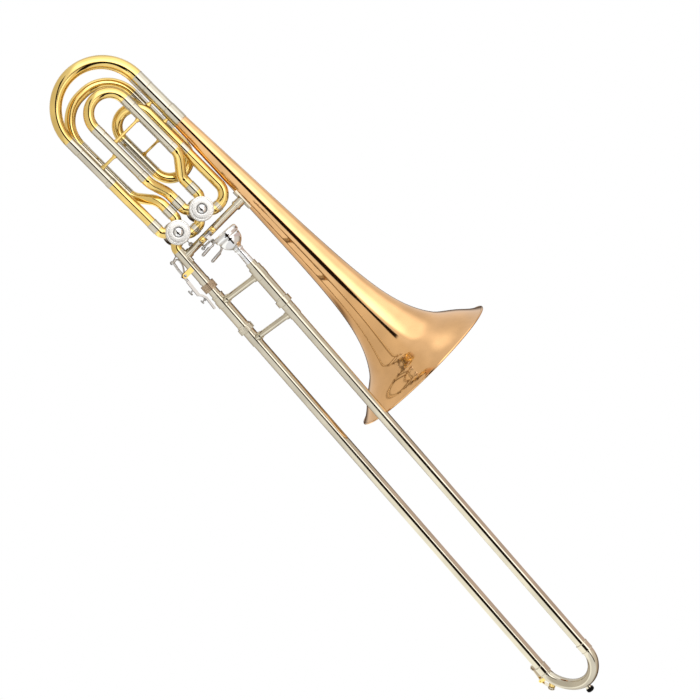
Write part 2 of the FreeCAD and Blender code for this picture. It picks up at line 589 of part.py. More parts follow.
hub = pipe(V(LEVER_U, 7.8, LEVER_V), V(LEVER_U, 18.0, LEVER_V), 2.9)
tail = rod([V(LEVER_U, LEVER_Y, LEVER_V + 0.4), V(-46.0, LEVER_Y, -13.4), V(-55.5, LEVER_Y, -11.6),
            V(-59.0, LEVER_Y, -11.0)], 1.9)
cross_pin = rod([V(-59.0, LEVER_Y, -11.0), V(-59.0, 28.8, -11.0)], 1.5)
hook = rod([V(-59.0, LEVER_Y, -11.0), V(-59.0, LEVER_Y, -6.5)], 1.6)
stem = rod([V(LEVER_U, LEVER_Y, LEVER_V), V(-22, LEVER_Y, -15.6), V(-12, LEVER_Y, -16.6)], 2.1)
FLAT = V(0, 1, 0)
plate = bar([V(-25, LEVER_Y, -15.6), V(0.5, LEVER_Y, -18.4)], 6.0, 4.6, FLAT)
paddle = bar([V(0, LEVER_Y, -18.2), V(4.5, LEVER_Y, -14.9), V(11, LEVER_Y, -13.0), V(29, LEVER_Y, -15.4)],
             6.4, 3.2, FLAT)
tip = pipe(V(29, LEVER_Y - 3.2, -15.4), V(29, LEVER_Y + 3.2, -15.4), 1.9)
finger = join([hub, tail, cross_pin, hook, stem, plate, paddle, tip,
               Part.makeSphere(2.7, V(-59.0, LEVER_Y, -11.6))])
finger = finger.cut(pipe(V(LEVER_U, 0, LEVER_V), V(LEVER_U, 25, LEVER_V), PIN_R + 0.05))
save("finger_lever", finger, "bell")
knob = join([pipe(V(-10.5, LEVER_Y, -24.0), V(-10.5, LEVER_Y, -17.0), 1.3),
             pipe(V(-10.5, LEVER_Y, -25.6), V(-10.5, LEVER_Y, -23.6), 4.3)])
save("finger_lever_adjuster", knob.cut(finger), "bell")

# ---- hand slide: fixed inner part ---------------------------------------------------


def leg(x0, x1, q, ro, ri=0.0):
    """Straight tube of the hand slide at height q in the slide's own plane."""
    return pipe(V(x0, 0, q), V(x1, 0, q), ro, ri)


tenon = join([leg(-30, 17.5, 0, TENON_R, 5.7), leg(7.3, 17.5, 0, 7.4, 5.7)])
save("slide_tenon", tenon, "slide")
LEGS = (("lower", 0.0), ("upper", SPAN))
for name, q in LEGS:
    save("inner_tube_" + name, leg(17.5, INNER_END, q, INNER_R, INNER_IN), "slide")
    back = leg(17.5, 24, q, BARREL_R, INNER_R)
    barrel = join([back, leg(24, BARREL_END, q, BARREL_R, BARREL_R - 0.5),
                   leg(17.5, 19.5, q, BARREL_R + 0.5, INNER_R)])
    if name == "lower":
        barrel = join([barrel, leg(75.6, 77.3, q, BARREL_R + 0.9, BARREL_R - 0.2)])
    if name == "upper":
        barrel = join([barrel, leg(77.5, BARREL_END, q, 11.6, BARREL_R - 0.5),
                       leg(17.5, 76.0, q, BARREL_R + 0.5, BARREL_R - 0.2)])
    save("cork_barrel_" + name, barrel, "slide")

nut = join([leg(-5, -0.2, 0, 10.9, TUBE_R - 0.1), leg(-0.2, 7, 0, 10.9, TENON_R + 0.05)])
for i in range(40):
    angle = math.radians(i * 9)
    at = V(0, 11.15 * math.cos(angle), 11.15 * math.sin(angle))
    nut = nut.cut(pipe(at + V(-3.4, 0, 0), at + V(5.4, 0, 0), 0.6))
save("lock_nut", nut, "slide")

lock_ring = leg(77.6, 86.3, 0, 11.8, BARREL_R + 0.05)
for i in range(30):
    angle = math.radians(i * 12)
    at = V(0, 12.1 * math.cos(angle), 12.1 * math.sin(angle))
    lock_ring = lock_ring.cut(pipe(at + V(77, 0, 0), at + V(87, 0, 0), 0.7))
save("slide_lock_ring", lock_ring, "slide")


def slide_brace(x, r, tube_r, seat_r, seat_len):
    """Cross brace with a seat round each leg."""
    seats = []
    for _, q in LEGS:
        seats.append(leg(x - seat_len / 2, x + seat_len / 2, q, seat_r))
    shape = join([pipe(V(x, 0, 0), V(x, 0, SPAN), r),
                  pipe(V(x, 0, 0), V(x, 0, 16), r + 1.2), pipe(V(x, 0, SPAN - 16), V(x, 0, SPAN), r + 1.2)]
                 + seats)
    for _, q in LEGS:
        shape = shape.cut(leg(x - 30, x + 30, q, tube_r))
    return shape


inner_brace = slide_brace(31.0, 4.8, BARREL_R + 0.5, BARREL_R + 1.1, 11)
inner_brace = inner_brace.cut(leg(0, 60, 0, BARREL_R + 0.5))
fill = leg(25.5, 36.5, 0, BARREL_R + 0.5, BARREL_R)
save("inner_brace", join([inner_brace, fill]), "slide")

# mouthpiece receiver and mouthpiece, both turned about the upper leg
MP = V(0, 0, SPAN)
SHANK = [(9.4, 6.35), (37.0, 6.05)]
receiver_profile = [(9.4, 6.40), (9.4, 7.75), (17.5, 7.75), (17.5, INNER_IN), (38.0, INNER_IN), (38.0, 6.10)]
save("mouthpiece_receiver", turned(receiver_profile, MP, V(1, 0, 0)), "slide")
CUP_R = 14.0
cup = [(-47.0, 18.2), (-45.4, 19.2), (-40.0, 19.25), (-38.4, 18.6), (-37.8, 16.9), (-31.0, 16.2),
       (-26.0, 14.4), (-21.5, 11.2), (-18.6, 7.8), (-16.6, 6.4), (-14.0, 5.8), (-8.0, 5.85),
       (9.4, 6.35), (37.0, 6.05), (37.0, 5.2), (0.0, 4.2), (-14.0, 3.7), (-21.0, 3.6),
       (-24.5, 4.6), (-29.5, 8.6), (-35.0, 12.0), (-40.0, 13.6), (-44.6, 14.1), (-46.9, 15.2),
       (-47.7, 16.8)]
save("mouthpiece", turned(cup, MP, V(1, 0, 0)), "slide")

# ---- hand slide: moving outer part ----------------------------------------------------
for name, q in LEGS:
    save("outer_tube_" + name, leg(50, CROOK_X - 4, q, OUTER_R, OUTER_IN), "slide")
outer_brace = slide_brace(102.0, 4.5, OUTER_R, OUTER_R + 0.9, 15)
outer_brace = join([outer_brace] + [leg(BARREL_END + GAP, 96, q, OUTER_R + 0.7, OUTER_R) for _, q in LEGS])
save("outer_brace", outer_brace, "slide")

up = V(0, 0, 1)
steps = []
at = V(CROOK_X - 4, 0, 0)
heading = V(1, 0, 0)
steps.append(pipe(at, V(CROOK_X, 0, 0), OUTER_R, OUTER_IN))
at = V(CROOK_X, 0, 0)
for radius, angle in ((CROOK_END_R, CROOK_TURN), (CROOK_MID_R, 180 - 2 * CROOK_TURN), (CROOK_END_R, CROOK_TURN)):
    to_centre = V(0, -1, 0).cross(heading) * -1
    if to_centre.dot(V(-1, 0, 1)) < 0:
        to_centre = to_centre * -1
    if heading.x < -0.5:
        to_centre = V(0, -1, 0).cross(heading).normalize()
    piece, at, heading = bend(at, heading, to_centre.normalize(), radius, angle, OUTER_R, OUTER_IN)
    steps.append(piece)
steps.append(pipe(at, at + heading * 4, OUTER_R, OUTER_IN))
crook = join(steps)
APEX = V(CROOK_X + 40, 0, SPAN / 2)
crook_filled = Part.makeTorus(CROOK_MID_R, OUTER_R, APEX - V(CROOK_MID_R, 0, 0), V(0, 1, 0))
socket = leg(CROOK_X + 44, CROOK_X + 50.5, SPAN / 2, 4.6).cut(crook_filled)
save("slide_crook", crook, "slide")
ends = [leg(736, CROOK_X, q, OUTER_R + 0.9, OUTER_R) for _, q in LEGS]
save("crook_ferrules", both(ends + [socket]), "slide")
BUMPER = [(0.0, 0.0), (0.0, 4.6), (0.8, 5.6), (3.6, 5.9), (5.4, 5.2), (6.6, 3.8), (6.9, 3.2), (6.9, 0.0)]
save("bumper", turned(BUMPER, V(CROOK_X + 50.5, 0, SPAN / 2), V(1, 0, 0)), "slide")

# water key on the lower bend
KEY_TURN = math.radians(30)
nipple_mid = V(CROOK_X + CROOK_END_R * math.sin(KEY_TURN), 0, CROOK_END_R * (1 - math.cos(KEY_TURN)))
outwards = V(math.sin(KEY_TURN), 0, -math.cos(KEY_TURN))
bend_filled = Part.makeTorus(CROOK_END_R, OUTER_R, V(CROOK_X, 0, CROOK_END_R), V(0, 1, 0))
nipple = join([pipe(nipple_mid, nipple_mid + outwards * 14.5, 3.4),
               pipe(nipple_mid, nipple_mid + outwards * 12.0, 5.2)]).cut(bend_filled)
nipple = nipple.cut(pipe(nipple_mid, nipple_mid + outwards * 20, 2.2))
KEY_X = 756.5
KEY_Q = -17.0
key_ears = [box(KEY_X - 2.6, KEY_X + 2.6, y0, y0 + 1.4, KEY_Q, -5.0) for y0 in (-5.0, 3.6)]
key_ears += [pipe(V(KEY_X, y0, KEY_Q), V(KEY_X, y0 + 1.4, KEY_Q), 2.6) for y0 in (-5.0, 3.6)]
key_ears.append(pipe(V(KEY_X, -5.8, KEY_Q), V(KEY_X, 5.8, KEY_Q), 0.9))
key_post = join([box(KEY_X - 2.6, KEY_X + 2.6, -5.0, 5.0, -10.0, -4.0)] + key_ears)
key_post = key_post.cut(bend_filled).cut(leg(CROOK_X - 10, CROOK_X + 0.5, 0, OUTER_R + 0.9))
key_post = key_post.cut(leg(CROOK_X, CROOK_X + 1.0, 0, OUTER_R + 0.9))
save("water_key_mount", both([nipple, key_post]), "slide")
pad_at = nipple_mid + outwards * 14.8
pad_top = pad_at + outwards * 3.0
key_lever = join([pipe(pad_at, pad_top, 4.6), pipe(pad_top, pad_top + outwards * 1.2, 5.4),
                  bar([pad_top + outwards * 0.4, V(KEY_X + 4, 0, KEY_Q - 1.4), V(KEY_X, 0, KEY_Q - 1.2),
                       V(746, 0, -16.6), V(731, 0, -14.6)], 5.0, 1.4, V(0, 1, 0)),
                  pipe(V(KEY_X, -3.2, KEY_Q), V(KEY_X, 3.2, KEY_Q), 2.2),
                  pipe(V(734.5, 0, -15.9), V(734.5, 0, -14.4), 4.0)])
key_lever = key_lever.cut(pipe(V(KEY_X, -7, KEY_Q), V(KEY_X, 7, KEY_Q), 0.95))
save("water_key", key_lever, "slide")
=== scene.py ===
"""Bass trombone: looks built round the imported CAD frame.  Metres, +X along the hand slide."""
import bmesh
import bpy
import json
import math
from mathutils import Matrix, Vector


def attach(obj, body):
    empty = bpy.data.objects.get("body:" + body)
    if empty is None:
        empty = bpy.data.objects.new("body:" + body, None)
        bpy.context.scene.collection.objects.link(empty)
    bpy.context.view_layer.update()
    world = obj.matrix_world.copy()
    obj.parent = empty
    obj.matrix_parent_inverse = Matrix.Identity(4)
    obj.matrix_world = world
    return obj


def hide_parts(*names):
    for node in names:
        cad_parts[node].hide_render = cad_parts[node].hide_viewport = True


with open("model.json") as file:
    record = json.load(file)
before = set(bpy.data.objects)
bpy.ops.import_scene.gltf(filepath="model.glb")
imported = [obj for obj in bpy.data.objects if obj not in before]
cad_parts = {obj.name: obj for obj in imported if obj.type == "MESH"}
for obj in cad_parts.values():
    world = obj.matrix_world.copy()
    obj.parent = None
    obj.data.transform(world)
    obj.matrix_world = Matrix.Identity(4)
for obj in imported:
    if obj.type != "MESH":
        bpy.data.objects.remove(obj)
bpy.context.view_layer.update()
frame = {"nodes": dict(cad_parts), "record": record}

# ---- camera ------------------------------------------------------------------------
TARGET = Vector((0.2054, 0.0, 0.0938))
AZ = math.radians(5.5)
EL = math.radians(7.5)
ROLL = math.radians(48.6)
DIST = 5.0
LENS = 177.4
fwd = Vector((math.sin(AZ) * math.cos(EL), math.cos(AZ) * math.cos(EL), math.sin(EL)))
up_hint = Vector((-math.sin(ROLL), 0, math.cos(ROLL)))
right = fwd.cross(up_hint).normalized()
up = right.cross(fwd).normalized()
cam_at = TARGET - fwd * DIST
cam_data = bpy.data.cameras.new("camera")
cam = bpy.data.objects.new("camera", cam_data)
bpy.context.scene.collection.objects.link(cam)
cam.matrix_world = Matrix(((right.x, up.x, -fwd.x, cam_at.x), (right.y, up.y, -fwd.y, cam_at.y),
                           (right.z, up.z, -fwd.z, cam_at.z), (0, 0, 0, 1)))
cam_data.lens = LENS
cam_data.sensor_width = 36
cam_data.clip_end = 50
cam_data.dof.use_dof = False
bpy.context.scene.camera = cam


# ---- node helpers ------------------------------------------------------------------
class Net:
    """Short-hand for building a node tree."""

    def __init__(self, tree):
        self.tree = tree
        self.tree.nodes.clear()

    def add(self, kind, **values):
        node = self.tree.nodes.new(kind)
        for key, value in values.items():
            setattr(node, key, value)
        return node

    def link(self, a, b):
        self.tree.links.new(a, b)

    def feed(self, value, socket):
        """Link a socket, or set a constant."""
        if hasattr(value, "is_linked"):
            self.link(value, socket)
        else:
            socket.default_value = value

    def math(self, op, *values):
        node = self.add("ShaderNodeMath", operation=op)
        for value, socket in zip(values, node.inputs):
            self.feed(value, socket)
        return node.outputs[0]

    def ramp(self, source, stops):
        node = self.add("ShaderNodeValToRGB")
        while len(node.color_ramp.elements) < len(stops):
            node.color_ramp.elements.new(0.5)
        for element, (position, colour) in zip(node.color_ramp.elements, stops):
            element.position = position
            element.color = (*colour, 1)
        self.link(source, node.inputs[0])
        return node.outputs[0]


# ---- studio ------------------------------------------------------------------------
# The metals mirror a tent laid out round the main view: to_cam points at the lens, side_axis up
# across the tubes in the picture, run_axis along them.
to_cam = -fwd
side_axis = to_cam.cross(Vector((-1, 0, 0))).normalized()
run_axis = to_cam.cross(side_axis).normalized()
if side_axis.z < 0:
    side_axis = -side_axis
if run_axis.x < 0:
    run_axis = -run_axis

bpy.context.scene.view_settings.view_transform = "Standard"
world = bpy.data.worlds.new("studio")
bpy.context.scene.world = world
world.use_nodes = True
net = Net(world.node_tree)
coord = net.add("ShaderNodeTexCoord")


def along(direction):
    """Share of a ray's direction that runs this way, -1..1."""
    dot = net.add("ShaderNodeVectorMath", operation="DOT_PRODUCT")
    net.link(coord.outputs["Generated"], dot.inputs[0])
    dot.inputs[1].default_value = direction
    return dot.outputs["Value"]


def step(value, low, high):
    """0 below low, 1 above high, smooth between."""
    node = net.add("ShaderNodeMapRange", interpolation_type="SMOOTHSTEP")
    net.link(value, node.inputs["Value"])
    node.inputs["From Min"].default_value = low
    node.inputs["From Max"].default_value = high
    return node.outputs["Result"]


def slope(value, low, high, at_low, at_high):
    """at_low below low, at_high above high, straight between."""
    node = net.add("ShaderNodeMapRange")
    net.link(value, node.inputs["Value"])
    for socket, number in (("From Min", low), ("From Max", high),
                           ("To Min", at_low), ("To Max", at_high)):
        node.inputs[socket].default_value = number
    return node.outputs["Result"]


def times(a, b):
    return net.math("MULTIPLY", a, b)


def opposite(value):
    return times(value, -1.0)


def rest_of(value):
    return net.math("SUBTRACT", 1.0, value)


def mixed(factor, a, b, kind="MIX"):
    node = net.add("ShaderNodeMix", data_type="RGBA", blend_type=kind)
    for value, socket in ((factor, "Factor"), (a, "A"), (b, "B")):
        net.feed(value, node.inputs[socket])
    return node.outputs["Result"]


def round_from_lens(stops):
    """Colours by the angle from the lens, in degrees; the last one is at the lens itself."""
    spread = net.math("MULTIPLY_ADD", d_cam, 0.5, 0.5)
    return net.ramp(spread, [((math.cos(math.radians(angle)) + 1) / 2, colour)
                             for angle, colour in stops])


d_cam, d_side, d_run = along(to_cam), along(side_axis), along(run_axis)

# Seen square across a tube, the tent is bright to 100 degrees and dark brown behind.
across = round_from_lens([(180, (0.03, 0.02, 0.012)), (152, (0.06, 0.035, 0.02)), (136, (0.12, 0.08, 0.05)),
                          (120, (0.32, 0.25, 0.18)), (106, (0.72, 0.67, 0.61)), (88, (0.97, 0.96, 0.94)),
                          (0, (1.0, 1.0, 1.0))])
# Seen lengthways it stays bright much further round, which keeps the bell flare pale.
endways = round_from_lens([(180, (0.05, 0.03, 0.02)), (168, (0.10, 0.07, 0.05)), (155, (0.88, 0.86, 0.84)),
                           (0, (0.98, 0.98, 0.98))])
back_side = step(opposite(d_run), 0.02, 0.11)
# A straight tube's light goes further along the tent, the further along the instrument it is.
# EDGE_DRIFT takes out the difference between the middle of a tube and its edges.
EDGE_DRIFT = 0.083
far_along = net.math("MULTIPLY_ADD", d_cam, -EDGE_DRIFT, d_run)
# The far half of the hand slide is pale to its edges.
PALE_SLIDE = (0.95, 0.94, 0.92, 1)
PALE_SLIDE_SHARE = 0.85
on_slide = times(step(far_along, 0.11, 0.14), rest_of(step(d_run, 0.33, 0.39)))
across = mixed(times(on_slide, PALE_SLIDE_SHARE), across, PALE_SLIDE)
# So is the bell's lower edge, but for a thin outline.
PALE_BELL = (0.98, 0.94, 0.90, 1)
PALE_BELL_SHARE = 0.75
under = times(step(opposite(d_side), 0.10, 0.45), step(d_cam, -0.97, -0.80))
under = times(under, step(far_along, 0.015, 0.055))
across = mixed(times(under, PALE_BELL_SHARE), across, PALE_BELL)
tent = mixed(back_side, across, endways)

# Tints of the lower and the upper side: near the valves, further right, and on the slide.
to_right = step(d_run, -0.04, 0.11)
lower = mixed(to_right, (0.92, 0.88, 0.80, 1), (1.15, 1.18, 1.20, 1))
upper = mixed(to_right, (1.02, 1.01, 1.00, 1), (0.97, 0.88, 0.78, 1))
lower = mixed(on_slide, lower, (1.55, 1.60, 1.58, 1))
upper = mixed(on_slide, upper, (0.90, 0.72, 0.66, 1))
sides = mixed(step(d_side, -0.12, 0.14), lower, upper)
tent = mixed(1.0, tent, sides, "MULTIPLY")

# Long softbox over the upper side, wide over the valves and narrower to the right.
SOFTBOX = (1.58, 1.57, 1.56, 1)
SOFTBOX_CORE = (2.8, 2.77, 2.75, 1)
NARROW_SHARE = 0.75
wide = step(d_cam, -0.45, 0.10)
narrow = times(step(d_cam, 0.55, 0.90), NARROW_SHARE)
strength = net.math("MULTIPLY_ADD", to_right, net.math("SUBTRACT", narrow, wide), wide)
strength = net.math("MAXIMUM", strength, times(step(d_cam, 0.50, 0.80), on_slide))
box = times(step(d_side, 0.16, 0.34), strength)
tent = mixed(box, tent, mixed(step(d_cam, 0.40, 0.92), SOFTBOX, SOFTBOX_CORE))

# Dark slot through which the lens looks: thin towards the bell's flare and along the bell, wider
# on the slide, thin again where the crooks turn away.
SLOT = (0.015, 0.009, 0.006, 1)
SLIDE_EXTRA = 0.25
slot_half = net.math("MINIMUM", slope(d_run, -0.12, 0.05, 0.085, 0.23), slope(d_run, 0.10, 0.15, 0.26, 0.17))
slot_half = net.math("MULTIPLY_ADD", on_slide, SLIDE_EXTRA, slot_half)
slot_half = net.math("MINIMUM", slot_half, slope(d_run, 0.31, 0.39, 0.42, 0.12))
off_slot = net.math("DIVIDE", net.math("ABSOLUTE", d_side), slot_half)
opening = rest_of(step(off_slot, 0.85, 1.15))
for window in (step(d_run, -0.74, -0.68), rest_of(step(d_run, 0.88, 0.95)), step(d_cam, -0.05, 0.05)):
    opening = times(opening, window)
tent = mixed(opening, tent, SLOT)

# The lens itself sees plain white behind the instrument.
lit = net.add("ShaderNodeBackground")
net.link(tent, lit.inputs["Color"])
white = net.add("ShaderNodeBackground")
white.inputs["Color"].default_value = (1, 1, 1, 1)
path = net.add("ShaderNodeLightPath")
pick = net.add("ShaderNodeMixShader")
net.link(path.outputs["Is Camera Ray"], pick.inputs[0])
net.link(lit.outputs[0], pick.inputs[1])
net.link(white.outputs[0], pick.inputs[2])
world_out = net.add("ShaderNodeOutputWorld")
net.link(pick.outputs[0], world_out.inputs[0])

# ---- materials ---------------------------------------------------------------------
CLOUD_SCALE = 22          # patches of handling, about 45 mm across
FINE_SCALE = 900          # wipe marks, about 1 mm across
DULLED = 0.82             # brightness of the handled patches
TARNISH = 0.03            # change of roughness over the patches
GRAIN = 0.03              # change of roughness over the wipe marks
GRAIN_STRENGTH = 0.004
GRAIN_HEIGHT = 0.00002    # metres


def metal(name, colour, rough=0.05, scratch=0.35):
    """Polished metal with fine wipe marks, faint cloudiness and darker handled patches."""
    mat = bpy.data.materials.new(name)
    mat.use_nodes = True
    m = Net(mat.node_tree)
    place = m.add("ShaderNodeTexCoord")
    shader = m.add("ShaderNodeBsdfPrincipled")
    out = m.add("ShaderNodeOutputMaterial")
    m.link(shader.outputs[0], out.inputs[0])
    shader.inputs["Metallic"].default_value = 1.0
    cloud = m.add("ShaderNodeTexNoise")
    cloud.inputs["Scale"].default_value = CLOUD_SCALE
    cloud.inputs["Detail"].default_value = 5
    m.link(place.outputs["Object"], cloud.inputs["Vector"])
    dark = tuple(c * DULLED for c in colour)
    m.link(m.ramp(cloud.outputs["Fac"], [(0.35, dark), (0.65, colour)]), shader.inputs["Base Color"])
    fine = m.add("ShaderNodeTexNoise")
    fine.inputs["Scale"].default_value = FINE_SCALE
    fine.inputs["Detail"].default_value = 3
    m.link(place.outputs["Object"], fine.inputs["Vector"])
    cloudy = m.math("ADD", m.math("MULTIPLY", cloud.outputs["Fac"], TARNISH), rough - TARNISH / 2)
    grain = m.math("MULTIPLY", fine.outputs["Fac"], GRAIN)
    m.link(m.math("ADD", cloudy, grain), shader.inputs["Roughness"])
    bump = m.add("ShaderNodeBump")
    bump.inputs["Strength"].default_value = scratch * GRAIN_STRENGTH
    bump.inputs["Distance"].default_value = GRAIN_HEIGHT
    m.link(fine.outputs["Fac"], bump.inputs["Height"])
    m.link(bump.outputs[0], shader.inputs["Normal"])
    return mat


MATS = {
    "gold_brass": metal("gold_brass", (0.82, 0.49, 0.23)),
    "yellow_brass": metal("yellow_brass", (0.86, 0.63, 0.22)),
    "nickel_silver": metal("nickel_silver", (0.60, 0.555, 0.45)),
    "satin_silver": metal("satin_silver", (0.83, 0.82, 0.795), rough=0.42),
    "silver_plate": metal("silver_plate", (0.76, 0.76, 0.765)),
    # darker than silver_plate: painted shade for the levers, with more wipe marks as real wear
    "worn_silver_painted_shade": metal("worn_silver_painted_shade", (0.56, 0.545, 0.53), rough=0.07, scratch=0.6),
    "bronze": metal("bronze", (0.42, 0.32, 0.22), rough=0.25),
    "steel": metal("steel", (0.45, 0.45, 0.45), rough=0.2),
    "rubber": metal("rubber", (0.01, 0.01, 0.01), rough=0.6),
}
# the levers' plating gets more wipe marks, and a darker colour that is painted shade
LEVERS = ("finger_lever", "thumb_lever")
slots = {row["node"]: row["material_slot"] for row in frame["record"]["subparts"]}
for node_name, obj in frame["nodes"].items():
    obj.data.materials.clear()
    obj.data.materials.append(MATS["worn_silver_painted_shade" if node_name in LEVERS else slots[node_name]])

# ---- making pieces -----------------------------------------------------------------
# Two frames as in the CAD, in millimetres: the bell's (u, y, v), tipped 4 degrees, and the
# hand slide's (x, p, q), leaning out 55 degrees.
TIP = math.radians(-4)
LEAN = math.radians(55)
BELL = Matrix.Scale(0.001, 4) @ Matrix.Rotation(TIP, 4, "Y")
SLIDE = Matrix.Scale(0.001, 4) @ Matrix.Rotation(LEAN, 4, "X")
ALONG = (1, 0, 0)         # along the tubes, in both frames
NEAR = (0, -1, 0)         # towards the side that the valve caps face
FAR = (0, 1, 0)
BEAD_SUNK = 0.25          # how far a bead's foot lies inside its tube


class Shape:
    """A mesh under construction in one of the two frames."""

    def __init__(self, frame_matrix):
        self.bm = bmesh.new()
        self.to_world = frame_matrix

    def skin(self, rows, closed=False):
        """Faces between rows of points; a row of one point is a pole."""
        rows = [[self.bm.verts.new(p) for p in row] for row in rows]
        pairs = list(zip(rows, rows[1:])) + ([(rows[-1], rows[0])] if closed else [])
        for a, b in pairs:
            count = max(len(a), len(b))
            for i in range(count if count > 1 else 0):
                j = (i + 1) % count
                if len(a) == 1:
                    self.bm.faces.new((a[0], b[i], b[j]))
                elif len(b) == 1:
                    self.bm.faces.new((a[i], a[j], b[0]))
                else:
                    self.bm.faces.new((a[i], a[j], b[j], b[i]))

    def turned(self, profile, origin, axis, segments=96, flute=None, closed=True):
        """Revolve (height, radius) points about an axis; flute changes the radius by angle."""
        axis = Vector(axis).normalized()
        side = axis.orthogonal().normalized()
        other = axis.cross(side)
        rows = []
        for h, r in profile:
            middle = Vector(origin) + axis * h
            if r < 1e-6:
                rows.append([middle])
                continue
            row = []
            for i in range(segments):
                angle = math.tau * i / segments
                fluted = flute(angle, h, r) if flute else r
                row.append(middle + (side * math.cos(angle) + other * math.sin(angle)) * fluted)
            rows.append(row)
        self.skin(rows, closed)

    def bead(self, at, axis, r, width=1.2, proud=0.42):
        """Half-round ring standing proud of a tube of radius r, sunk a little into it."""
        sunk = r - BEAD_SUNK
        profile = [(-width / 2, sunk)]
        for k in range(7):
            t = math.pi * k / 6
            profile.append((-width / 2 * math.cos(t), r + proud * math.sin(t)))
        profile.append((width / 2, sunk))
        self.turned(profile, at, axis, 72)

    def rod(self, points, radius, sides=14):
        """Round wire with domed ends along a line of points."""
        points = [Vector(p) for p in points]
        headings = []
        for i in range(len(points)):
            ahead = points[min(i + 1, len(points) - 1)] - points[max(i - 1, 0)]
            headings.append(ahead.normalized())
        side = headings[0].orthogonal().normalized()
        rows = []

        def circle(middle, heading, r):
            other = heading.cross(side)
            turns = [math.tau * k / sides for k in range(sides)]
            return [middle + (side * math.cos(t) + other * math.sin(t)) * r for t in turns]

        def dome(middle, heading, outwards, angles):
            return [circle(middle + heading * outwards * radius * math.cos(t), heading, radius * math.sin(t))
                    for t in angles]

        for i, (point, heading) in enumerate(zip(points, headings)):
            side = (side - heading * side.dot(heading)).normalized()
            if i == 0:
                rows.append([point - heading * radius])
                rows += dome(point, heading, -1, (0.5, 1.0))
            rows.append(circle(point, heading, radius))
            if i == len(points) - 1:
                rows += dome(point, heading, 1, (1.0, 0.5))
                rows.append([point + heading * radius])
        self.skin(rows)

    def coil(self, start, axis, side, radius, wire, turns, rise, legs):
        """Torsion spring: turns of wire round an axis, with a straight leg at each end."""
        axis = Vector(axis).normalized()
        side = Vector(side).normalized()
        other = axis.cross(side)
        per_turn = 24
        line = []
        for i in range(int(turns * per_turn) + 1):
            angle = math.tau * i / per_turn
            line.append(Vector(start) + axis * rise * i / per_turn
                        + (side * math.cos(angle) + other * math.sin(angle)) * radius)
        first = (line[0] - line[1]).normalized() * legs[0]
        last = (line[-1] - line[-2]).normalized() * legs[1]
        self.rod([line[0] + first] + line + [line[-1] + last], wire, sides=10)

    def screw(self, at, axis, r, h, slot_axis):
        """Low domed screw head with a sawn slot: a round foot and two half domes."""
        axis = Vector(axis).normalized()
        along_slot = Vector(slot_axis).normalized()
        beside = axis.cross(along_slot)
        at = Vector(at)
        self.turned([(-0.2, 0.0), (-0.2, r), (h * 0.35, r), (h * 0.35, 0.0)], at, axis, 48, closed=False)
        half_slot = r * 0.17
        start = math.asin(half_slot / r)

        def half_dome(sign, scale, lift):
            row = []
            for k in range(19):
                angle = start + (math.pi - 2 * start) * k / 18
                x = math.cos(angle) * r * scale
                y = max(math.sin(angle) * r * scale, half_slot)
                row.append(at + axis * lift + along_slot * x + beside * (y * sign))
            return row

        for sign in (1, -1):
            rows = [[at + axis * h * 0.3 + beside * (sign * r * 0.4)]]
            for scale, lift in ((1.0, 0.3), (1.0, 0.55), (0.93, 0.75), (0.75, 0.92), (0.5, 0.99)):
                rows.append(half_dome(sign, scale, h * lift))
            rows.append([at + axis * h + beside * (sign * r * 0.35)])
            self.skin(rows)

    def done(self, name, body, slot, stands_for=(), sharp=38, look=None):
        """Close the mesh, dress it, and let it ride on a body."""
        self.bm.transform(self.to_world)
        bmesh.ops.recalc_face_normals(self.bm, faces=self.bm.faces)
        mesh = bpy.data.meshes.new(name)
        self.bm.to_mesh(mesh)
        self.bm.free()
        mesh.shade_smooth()
        mesh.set_sharp_from_angle(angle=math.radians(sharp))
        mesh.materials.append(MATS[look or slot])
        piece = bpy.data.objects.new(name, mesh)
        bpy.context.scene.collection.objects.link(piece)
        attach(piece, body)
        if stands_for:
            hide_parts(*stands_for)


def polar(r, degrees):
    """Offsets of a point on a circle."""
    return r * math.cos(math.radians(degrees)), r * math.sin(math.radians(degrees))


def arc(centre, r, start, end, count):
    """Points of a circle in profile coordinates, angles in degrees."""
    points = []
    for k in range(count + 1):
        dx, dy = polar(r, start + (end - start) * k / count)
        points.append((centre[0] + dx, centre[1] + dy))
    return points


def smooth_line(points, parts):
    """Points of a smooth curve through the given ones."""
    line = []
    for i in range(len(points) - 1):
        before, after = points[max(i - 1, 0)], points[min(i + 2, len(points) - 1)]
        a, b = points[i], points[i + 1]
        for k in range(parts):
            t = k / parts
            line.append(0.5 * ((2 * a) + (b - before) * t + (2 * before - 5 * a + 4 * b - after) * t * t
                               + (3 * a - before - 3 * b + after) * t * t * t))
    return line + [points[-1]]


# ---- bell, spun with its edge rolled round a wire ----------------------------------
BELL_AXIS_V = 139.4
BELL_RIM_U = 303.0
BELL_LENGTH = 511
BELL_WALL = 0.6
BEAD_R = 1.6
STEM_R = 11.2             # radius STEM_W behind the rim
STEM_W = 500
STEM_SLOPE = 0.042
FLARE_SIZE = 88
FLARE_LENGTH = 48
HUMP = 5.5                # fuller last part of the flare
HUMP_W = 46
FIRST_STEP = 0.85         # rows of the mesh lie closer together near the rim
BELL_ROWS = 130


def bell_radius(w):
    """Outer radius at a distance w behind the rim."""
    r = STEM_R + STEM_SLOPE * (STEM_W - w) + FLARE_SIZE * math.exp(-w / FLARE_LENGTH)
    if w < HUMP_W:
        r += HUMP * math.sin(math.pi * w / HUMP_W) ** 2
    return r


